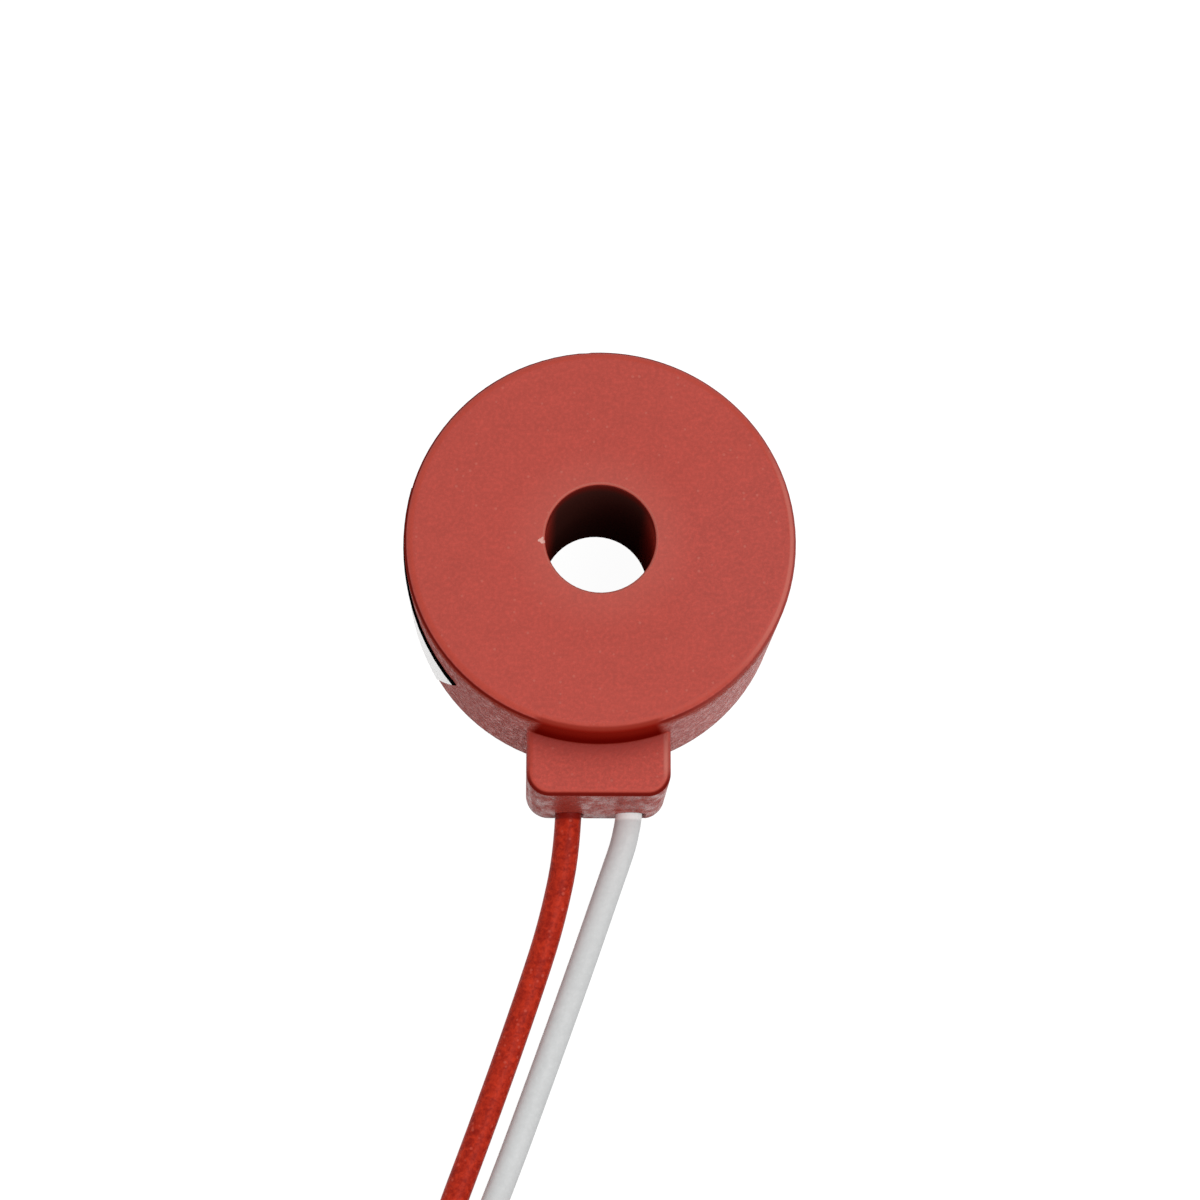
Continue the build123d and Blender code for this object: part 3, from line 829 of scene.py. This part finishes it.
# %% Finish of the case
SPECK_SHARE = 0.45
FACE_BUMP, SPECK_BUMP, END_SMOOTHER = 0.08, 0.08, 0.75
BUMP_DEPTH = 0.09
FACE_ROUGH, GRAIN_ROUGH = 0.50, 0.10
WALL_ROUGH, GRIT_SHINE, ACROSS_SHINE, RIGHT_SHINE = 0.18, 0.30, 0.005, 0.010
END_SHINE, STREAK_SHINE = 0.20, 0.20
REFLECTION = 0.33


def case_finish():
    finish = Finish("moulded_red")
    at = CasePlaces(finish)
    grain = Grain(finish)
    skin = finish.mix(1.0, RED, finish.grey(tone_with_painted_light(finish, at, grain)), "MULTIPLY")
    skin = finish.mix(grain.flecks * SPECK_SHARE, skin, RED_PALE)
    skin = light_edges(finish, at, skin)
    skin = paint_corner_shade(finish, at, grain, skin)
    skin = paint_hole_light_and_flash(finish, at, skin)
    on_face = grain.fine * (1 - at.side) * FACE_BUMP
    on_walls = grain.grit * at.side * (1 - at.end * END_SMOOTHER)
    finish.bump(on_face + on_walls + grain.flecks * SPECK_BUMP, BUMP_DEPTH)
    shade_case(finish, at, grain, skin)
    wall_rough = WALL_ROUGH - grain.grit * GRIT_SHINE
    wall_rough = wall_rough - finish.x * ACROSS_SHINE - finish.x.at_least(0) * RIGHT_SHINE
    wall_rough = wall_rough - at.end * (grain.streaks * STREAK_SHINE + END_SHINE)
    roughness = FACE_ROUGH + grain.fine * GRAIN_ROUGH + at.side * wall_rough
    return finish.done(skin, roughness, Specular_IOR_Level=REFLECTION)


dress(["case"], case_finish())


# %% [markdown]
# ## The cast resin
#
# The back is closed by cast resin of the same red, shiny and very slightly wavy, with a few pinholes where
# air came up. Slow noise in the bump gives the waves, and a thin coat gives the second, sharper shine of a
# surface that set on its own. The pinholes are painted deep red as painted shade. Where the resin shows in
# the lead slots it is dull, and painted dark as painted shade.

# %% Finish of the resin
RESIN_RED = (0.27, 0.022, 0.014)
RESIN_THIN = (0.36, 0.040, 0.025)
SLOT_DEPTH, SLOT_SOFT = 0.8, 0.05
WAVE_H, DUST_H, PINHOLE_H = 0.12, 0.03, 0.5
RESIN_COAT = 0.3
PINHOLE_SHARE = 0.8
RESIN_ROUGH, DUST_ROUGH, SLOT_ROUGH = 0.16, 0.12, 0.6


def resin_finish():
    finish = Finish("cast_resin")
    waves = finish.noise(0.35, detail=2, rough=0.4)
    dust = finish.noise(5.0, detail=2, rough=0.5)
    holes = finish.specks(0.9, size=0.16, share=0.12)
    skin = finish.mix(waves, RESIN_RED, RESIN_THIN)
    # Painted shade in the pinholes.
    skin = finish.mix(holes * PINHOLE_SHARE, skin, RED_DEEP)
    # Painted shade where the resin lies down in the lead slots.
    at_slots = 1 - finish.step(finish.y, block_end + SLOT_DEPTH, block_end + SLOT_DEPTH + SLOT_SOFT)
    skin = finish.mix(at_slots, skin, RED_DEEP)
    finish.bump(waves + dust * DUST_H - holes * PINHOLE_H, WAVE_H)
    finish.feed(finish.shader.inputs["Coat Weight"], (1 - at_slots) * RESIN_COAT)
    roughness = RESIN_ROUGH + dust * DUST_ROUGH + at_slots * SLOT_ROUGH
    return finish.done(skin, roughness, Coat_Roughness=0.12)


dress(["potting_compound"], resin_finish())


# %% [markdown]
# ## The sticker
#
# The sticker on the round wall is glossy white vinyl, put on askew, with a black line printed along its upper
# edge. The line could be a piece of its own, but print has no thickness, so it is colour. We unroll the wall:
# the angle round the case times its radius is a length along it, and that length and the height are turned by
# the sticker's tilt. The ink goes in the dull layer, since it doesn't shine as the vinyl does.

# %% Finish of the sticker
LABEL_TURN = math.radians(187.5)
LABEL_MIDDLE_Z = 5.45
LABEL_TILT = math.radians(-18)
LABEL_HALF_H = 3.0
LINE_W = 0.62
LINE_SOFT, LINE_RAGGED = 0.04, 0.05
FIBRE_H = 0.006
VINYL = (0.90, 0.90, 0.89)
VINYL_GREY = (0.84, 0.84, 0.83)
INK = (0.002, 0.002, 0.002)


def label_finish():
    finish = Finish("white_vinyl")
    outwards = finish.x * math.cos(LABEL_TURN) + finish.y * math.sin(LABEL_TURN)
    round_wall = finish.y * math.cos(LABEL_TURN) - finish.x * math.sin(LABEL_TURN)
    arc = finish.angle(round_wall, outwards) * case_r
    up = (finish.z - LABEL_MIDDLE_Z) * math.cos(LABEL_TILT) - arc * math.sin(LABEL_TILT)
    line = LABEL_HALF_H - LINE_W
    ink = finish.step(up + finish.noise(5, detail=2) * LINE_RAGGED, line, line + LINE_SOFT)
    fibre = finish.noise(7, detail=3)
    vinyl = finish.mix(fibre * 0.5, VINYL, VINYL_GREY)
    finish.bump(fibre, FIBRE_H)
    finish.veil(ink, INK)
    return finish.done(vinyl, roughness=0.20 + fibre * 0.06, Coat_Weight=0.3, Coat_Roughness=0.1)


dress(["side_label"], label_finish())


# %% [markdown]
# ## What is sealed inside
#
# The core is wound from thin strip, so it shows fine rings, and the winding round it is enamelled copper.
# They can't be seen from outside, but a cut-away view may show them. Neither the strip nor the hundreds of
# turns are modelled. A sine of the distance from the middle draws the strip's edges, and a sine of the angle
# draws the turns, each as colour and bump at once.

# %% Finishes of the core and the winding
STRIP_PER_MM = 4.0
TURNS_DRAWN = 220
STRIP_DARK, STRIP_LIGHT = (0.16, 0.17, 0.19), (0.42, 0.43, 0.46)
COPPER_DARK, COPPER_LIGHT = (0.30, 0.07, 0.02), (0.72, 0.26, 0.10)


def ring_grooves(finish, per_mm, depth_mm):
    """Fine grooves that run round the ring, as on wound strip."""
    waves = (finish.from_axis() * (2 * math.pi * per_mm)).math("SINE") * 0.5 + 0.5
    finish.bump(waves, depth_mm)
    return waves


def core_finish():
    finish = Finish("wound_strip")
    waves = ring_grooves(finish, STRIP_PER_MM, depth_mm=0.03)
    skin = finish.mix(waves, STRIP_DARK, STRIP_LIGHT)
    return finish.done(skin, roughness=0.3 + finish.noise(3, detail=2) * 0.2, Metallic=1.0)


def copper_finish():
    finish = Finish("enamelled_copper")
    turns = (finish.angle(finish.y, finish.x) * TURNS_DRAWN).math("SINE") * 0.5 + 0.5
    skin = finish.mix(turns, COPPER_DARK, COPPER_LIGHT)
    finish.bump(turns, depth_mm=0.05)
    return finish.done(skin, roughness=0.28 + finish.noise(2, detail=2) * 0.1, Metallic=0.85, Coat_Weight=0.5)


dress(["core"], core_finish())
dress(["secondary_winding", "red_tail", "white_tail"], copper_finish())


# %% [markdown]
# ## Box, tape, sleeves and joints
#
# The core sits in a pale two-part box. Yellow tape closes the winding, and the soldered joints to the leads
# are under black sleeves. These are plain materials, but none is one flat colour on a real part. So one
# function makes them all, with a little cloud in the colour and a fine grain in the bump.

# %% Finishes of the box, tape, sleeves and joints
CLOUD_PER_MM, GRAIN_PER_MM = 0.9, 6.0
CLOUD_PART, GRAIN_PART = 0.6, 0.4
PLAIN_GRAIN_H, PLAIN_GRAIN_ROUGH = 0.01, 0.12


def plain_finish(name, low, high, roughness, **constants):
    """A plain material that varies a little between two colours, with a fine grain."""
    finish = Finish(name)
    cloud = finish.noise(CLOUD_PER_MM, detail=3)
    grain = finish.noise(GRAIN_PER_MM, detail=2)
    finish.bump(grain, PLAIN_GRAIN_H)
    skin = finish.mix(cloud * CLOUD_PART + grain * GRAIN_PART, low, high)
    return finish.done(skin, roughness + grain * PLAIN_GRAIN_ROUGH, **constants)


core_box = plain_finish("core_box", (0.74, 0.73, 0.68), (0.84, 0.83, 0.79), 0.42)
yellow_tape = plain_finish("yellow_tape", (0.80, 0.56, 0.05), (0.90, 0.68, 0.10), 0.22, Coat_Weight=0.4)
shrink_sleeve = plain_finish("shrink_sleeve", (0.015, 0.015, 0.017), (0.03, 0.03, 0.033), 0.4)
solder = plain_finish("solder", (0.50, 0.50, 0.51), (0.72, 0.72, 0.73), 0.2, Metallic=1.0)
dress(["core_case_cup", "core_case_lid"], core_box)
dress(["winding_tape"], yellow_tape)
dress(["red_sleeve", "white_sleeve"], shrink_sleeve)
dress(["red_joint", "white_joint"], solder)


# %% [markdown]
# ## Soft insulation
#
# The insulation is soft vinyl. The red one is a deep, slightly blotchy red with small painted glints, and
# the white one is a cool white that has picked up a little grey. Where a lead leaves the block a short collar
# looks different: darker on the red lead, as painted shade from the block, and paler on the white one. Along
# a curve the position still works as a pattern, because both stay put, so one function with other colours
# makes both.

# %% Finishes of the leads
COLLAR_FROM, COLLAR_TO = 0.42, 0.24
GLINT_SHARE = 0.45
CLOUD_BLOTCH, MOTTLE_BLOTCH = 0.35, 0.65
MOTTLE_H, LEAD_GRAIN_H = 0.7, 0.3
LEAD_GRAIN_ROUGH = 0.1


def insulation_finish(name, low, high, at_exit, glint, roughness, depth, shine):
    """Soft insulation: blotches between two colours, small painted glints, and a collar at the exit."""
    finish = Finish(name)
    cloud = finish.noise(1.1, detail=3, rough=0.6)
    mottle = finish.noise(3.6, detail=3, rough=0.62, twist=0.4)
    grain = finish.noise(9, detail=2)
    blotches = finish.step(cloud * CLOUD_BLOTCH + mottle * MOTTLE_BLOTCH, low=0.3, high=0.7)
    skin = finish.mix(blotches, low, high)
    # Painted glints: small highlights drawn into the colour.
    glints = finish.specks(3.0, size=0.34, share=0.35)
    skin = finish.mix(glints * GLINT_SHARE, skin, glint)
    # A collar at the exit: darker on the red lead as painted shade from the block, paler on the white one.
    collar = finish.step(finish.y, block_end - COLLAR_FROM, block_end - COLLAR_TO)
    skin = finish.mix(collar, skin, at_exit)
    finish.bump(mottle * MOTTLE_H + grain * LEAD_GRAIN_H, depth)
    return finish.done(skin, roughness + grain * LEAD_GRAIN_ROUGH, Specular_IOR_Level=shine)


red_vinyl = insulation_finish("red_vinyl", low=(0.29, 0.009, 0.003), high=(0.62, 0.038, 0.012),
                              at_exit=(0.22, 0.006, 0.002), glint=(0.70, 0.12, 0.080),
                              roughness=0.40, depth=0.05, shine=0.11)
white_vinyl = insulation_finish("white_vinyl_wire", low=(0.67, 0.68, 0.68), high=(0.73, 0.74, 0.74),
                                at_exit=(0.95, 0.95, 0.95), glint=(0.76, 0.77, 0.77),
                                roughness=0.42, depth=0.006, shine=0.18)
dress([leads["red"].name], red_vinyl)
dress([leads["white"].name], white_vinyl)


# %% [markdown]
# ## The tie
#
# A small tie of natural nylon holds the two coils together. It is a CAD piece, and nylon of that kind is a
# slightly yellow, milky white. The plain finish from the sealed pieces does for it.

# %% Finish of the tie
dress(["coil_tie"], plain_finish("natural_nylon", (0.74, 0.74, 0.70), (0.84, 0.84, 0.81), 0.34))


# %% [markdown]
# ## Bare ends
#
# The bare ends are tinned strands with a twist. Modelled strands would be many thin curves for a few
# millimetres of wire, so we draw them: the place on the coil becomes an angle along the wire and an angle
# round it, and a sine of the two together winds the strands round.

# %% Finish of the bare ends
STRANDS = 6
TWIST = 36
STRAND_H = 0.09
TIN_DARK, TIN_LIGHT = (0.34, 0.33, 0.32), (0.74, 0.73, 0.71)


def strand_finish(coil_node):
    """Tinned strands that twist along the arc of the coil."""
    low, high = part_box(coil_node)
    middle = (low + high) / 2 / MM
    finish = Finish(f"tinned_{coil_node}")
    from_x = finish.x - middle.x
    from_y = finish.y - middle.y
    along = finish.angle(from_y, from_x)
    outwards = (from_x ** 2 + from_y ** 2) ** 0.5 - (COIL_R - WHOLE_TURNS * lead_d)
    around = finish.angle(finish.z - middle.z, outwards)
    strands = (around * STRANDS + along * TWIST).math("SINE") * 0.5 + 0.5
    skin = finish.mix(strands, TIN_DARK, TIN_LIGHT)
    finish.bump(strands, STRAND_H)
    return finish.done(skin, roughness=0.24 + finish.noise(4, detail=2) * 0.1, Metallic=1.0)


for colour in ("red", "white"):
    dress([f"{colour}_lead_tip", f"{colour}_conductor"], strand_finish(f"{colour}_lead_coil"))


# %% [markdown]
# ## The bench
#
# The part lies on a plain white bench. More light would make the bench white, but it would wash out the part.
# So the bench is a plane in a middling grey that also glows, but only to rays that come straight from the
# camera or from a mirror or glass. It reads as white, it still shows the part's shadow, and it lights nothing
# itself.

# %% Floor
FLOOR_W = 3.0
FLOOR_GAP = 0.00002
FLOOR_WHITE = 0.34
FLOOR_SHADOW = 0.20
FLOOR_GLOW = 0.96
FLOOR_ROUGH = 0.9


def seen_directly(nodes):
    """1 for camera, mirror and glass rays, 0 for light that bounces round the scene."""
    camera_ray, glossy_ray, glass_ray = (nodes.add("ShaderNodeLightPath", out=f"Is {kind} Ray")
                                         for kind in ("Camera", "Glossy", "Transmission"))
    return camera_ray.at_least(glossy_ray).at_least(glass_ray)


def bench_finish():
    material = bpy.data.materials.new("pale_bench")
    material.use_nodes = True
    nodes = NodeMaths(material.node_tree)
    shader = nodes.tree.nodes["Principled BSDF"]
    direct = seen_directly(nodes)
    shade = {"Value": direct, "To Min": FLOOR_WHITE, "To Max": FLOOR_SHADOW}
    nodes.feed(shader.inputs["Base Color"], nodes.add("ShaderNodeMapRange", {}, shade))
    nodes.feed(shader.inputs["Emission Strength"], direct * FLOOR_GLOW)
    shader.inputs["Emission Color"].default_value = (1, 1, 1, 1)
    shader.inputs["Roughness"].default_value = FLOOR_ROUGH
    shader.inputs["Specular IOR Level"].default_value = 0.0
    return material


def lay_floor():
    bpy.ops.object.select_all(action="DESELECT")
    bpy.ops.mesh.primitive_plane_add(size=FLOOR_W, location=(0, 0, -FLOOR_GAP))
    bpy.ops.object.transform_apply(location=True)
    floor = bpy.context.object
    floor.name = "floor"
    floor.data.materials.append(bench_finish())
    floor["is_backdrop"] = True
    return floor


floor = lay_floor()
print(floor.name, FLOOR_W, "m wide,", round(FLOOR_GAP / MM, 2), "mm under the part")


# %% [markdown]
# ## The light
#
# The world stands for a bright, even room, and one square lamp above and to the right of the leads gives the
# part a lit side. Several lamps would give several shadows. Both are set so that a colour comes out about as
# it is written. Straight to the camera the world is white.

# %% World and lamp
WORLD_LIGHT = 0.60
KEY_PLACE = (0.14, -0.10, 0.34)
KEY_SIZE, KEY_WATTS = 0.20, 0.50


def light_world():
    world = bpy.data.worlds.new("studio")
    bpy.context.scene.world = world
    world.use_nodes = True
    nodes = NodeMaths(world.node_tree)
    background = nodes.tree.nodes["Background"]
    background.inputs["Color"].default_value = (1, 1, 1, 1)
    strength = {"Value": seen_directly(nodes), "To Min": WORLD_LIGHT, "To Max": 1.0}
    nodes.feed(background.inputs["Strength"], nodes.add("ShaderNodeMapRange", {}, strength))
    return world


def add_lamp(name, place, size, watts):
    """A square soft lamp that points at the part."""
    bpy.ops.object.light_add(type="AREA", location=place)
    lamp = bpy.context.object
    lamp.name = name
    lamp.data.size = size
    lamp.data.energy = watts
    lamp.rotation_euler = Vector(place).to_track_quat("Z", "Y").to_euler()
    return lamp


world = light_world()
lamp = add_lamp("key", KEY_PLACE, KEY_SIZE, KEY_WATTS)
bpy.context.scene.view_settings.view_transform = "Standard"
print("world", world.name, "and lamp", lamp.name, lamp.data.energy, "W")


# %% [markdown]
# ## Sizes of the dressed part
#
# At the start we kept the box round the bare solids. Now we take the box round the dressed part and print
# how the two differ. Here a curve counts with its control points. Those of the coils lie almost 0.08 mm
# outside the wire, so two sides show that much, and the wire itself doesn't stand out.

# %% Sizes of the dressed part
bpy.context.view_layer.update()
dressed_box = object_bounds()
grown = [round((corner - solid) / MM, 3) for pair in zip(dressed_box, cad_box) for corner, solid in zip(*pair)]
print("dressed box less the box of the solids", grown, "mm")
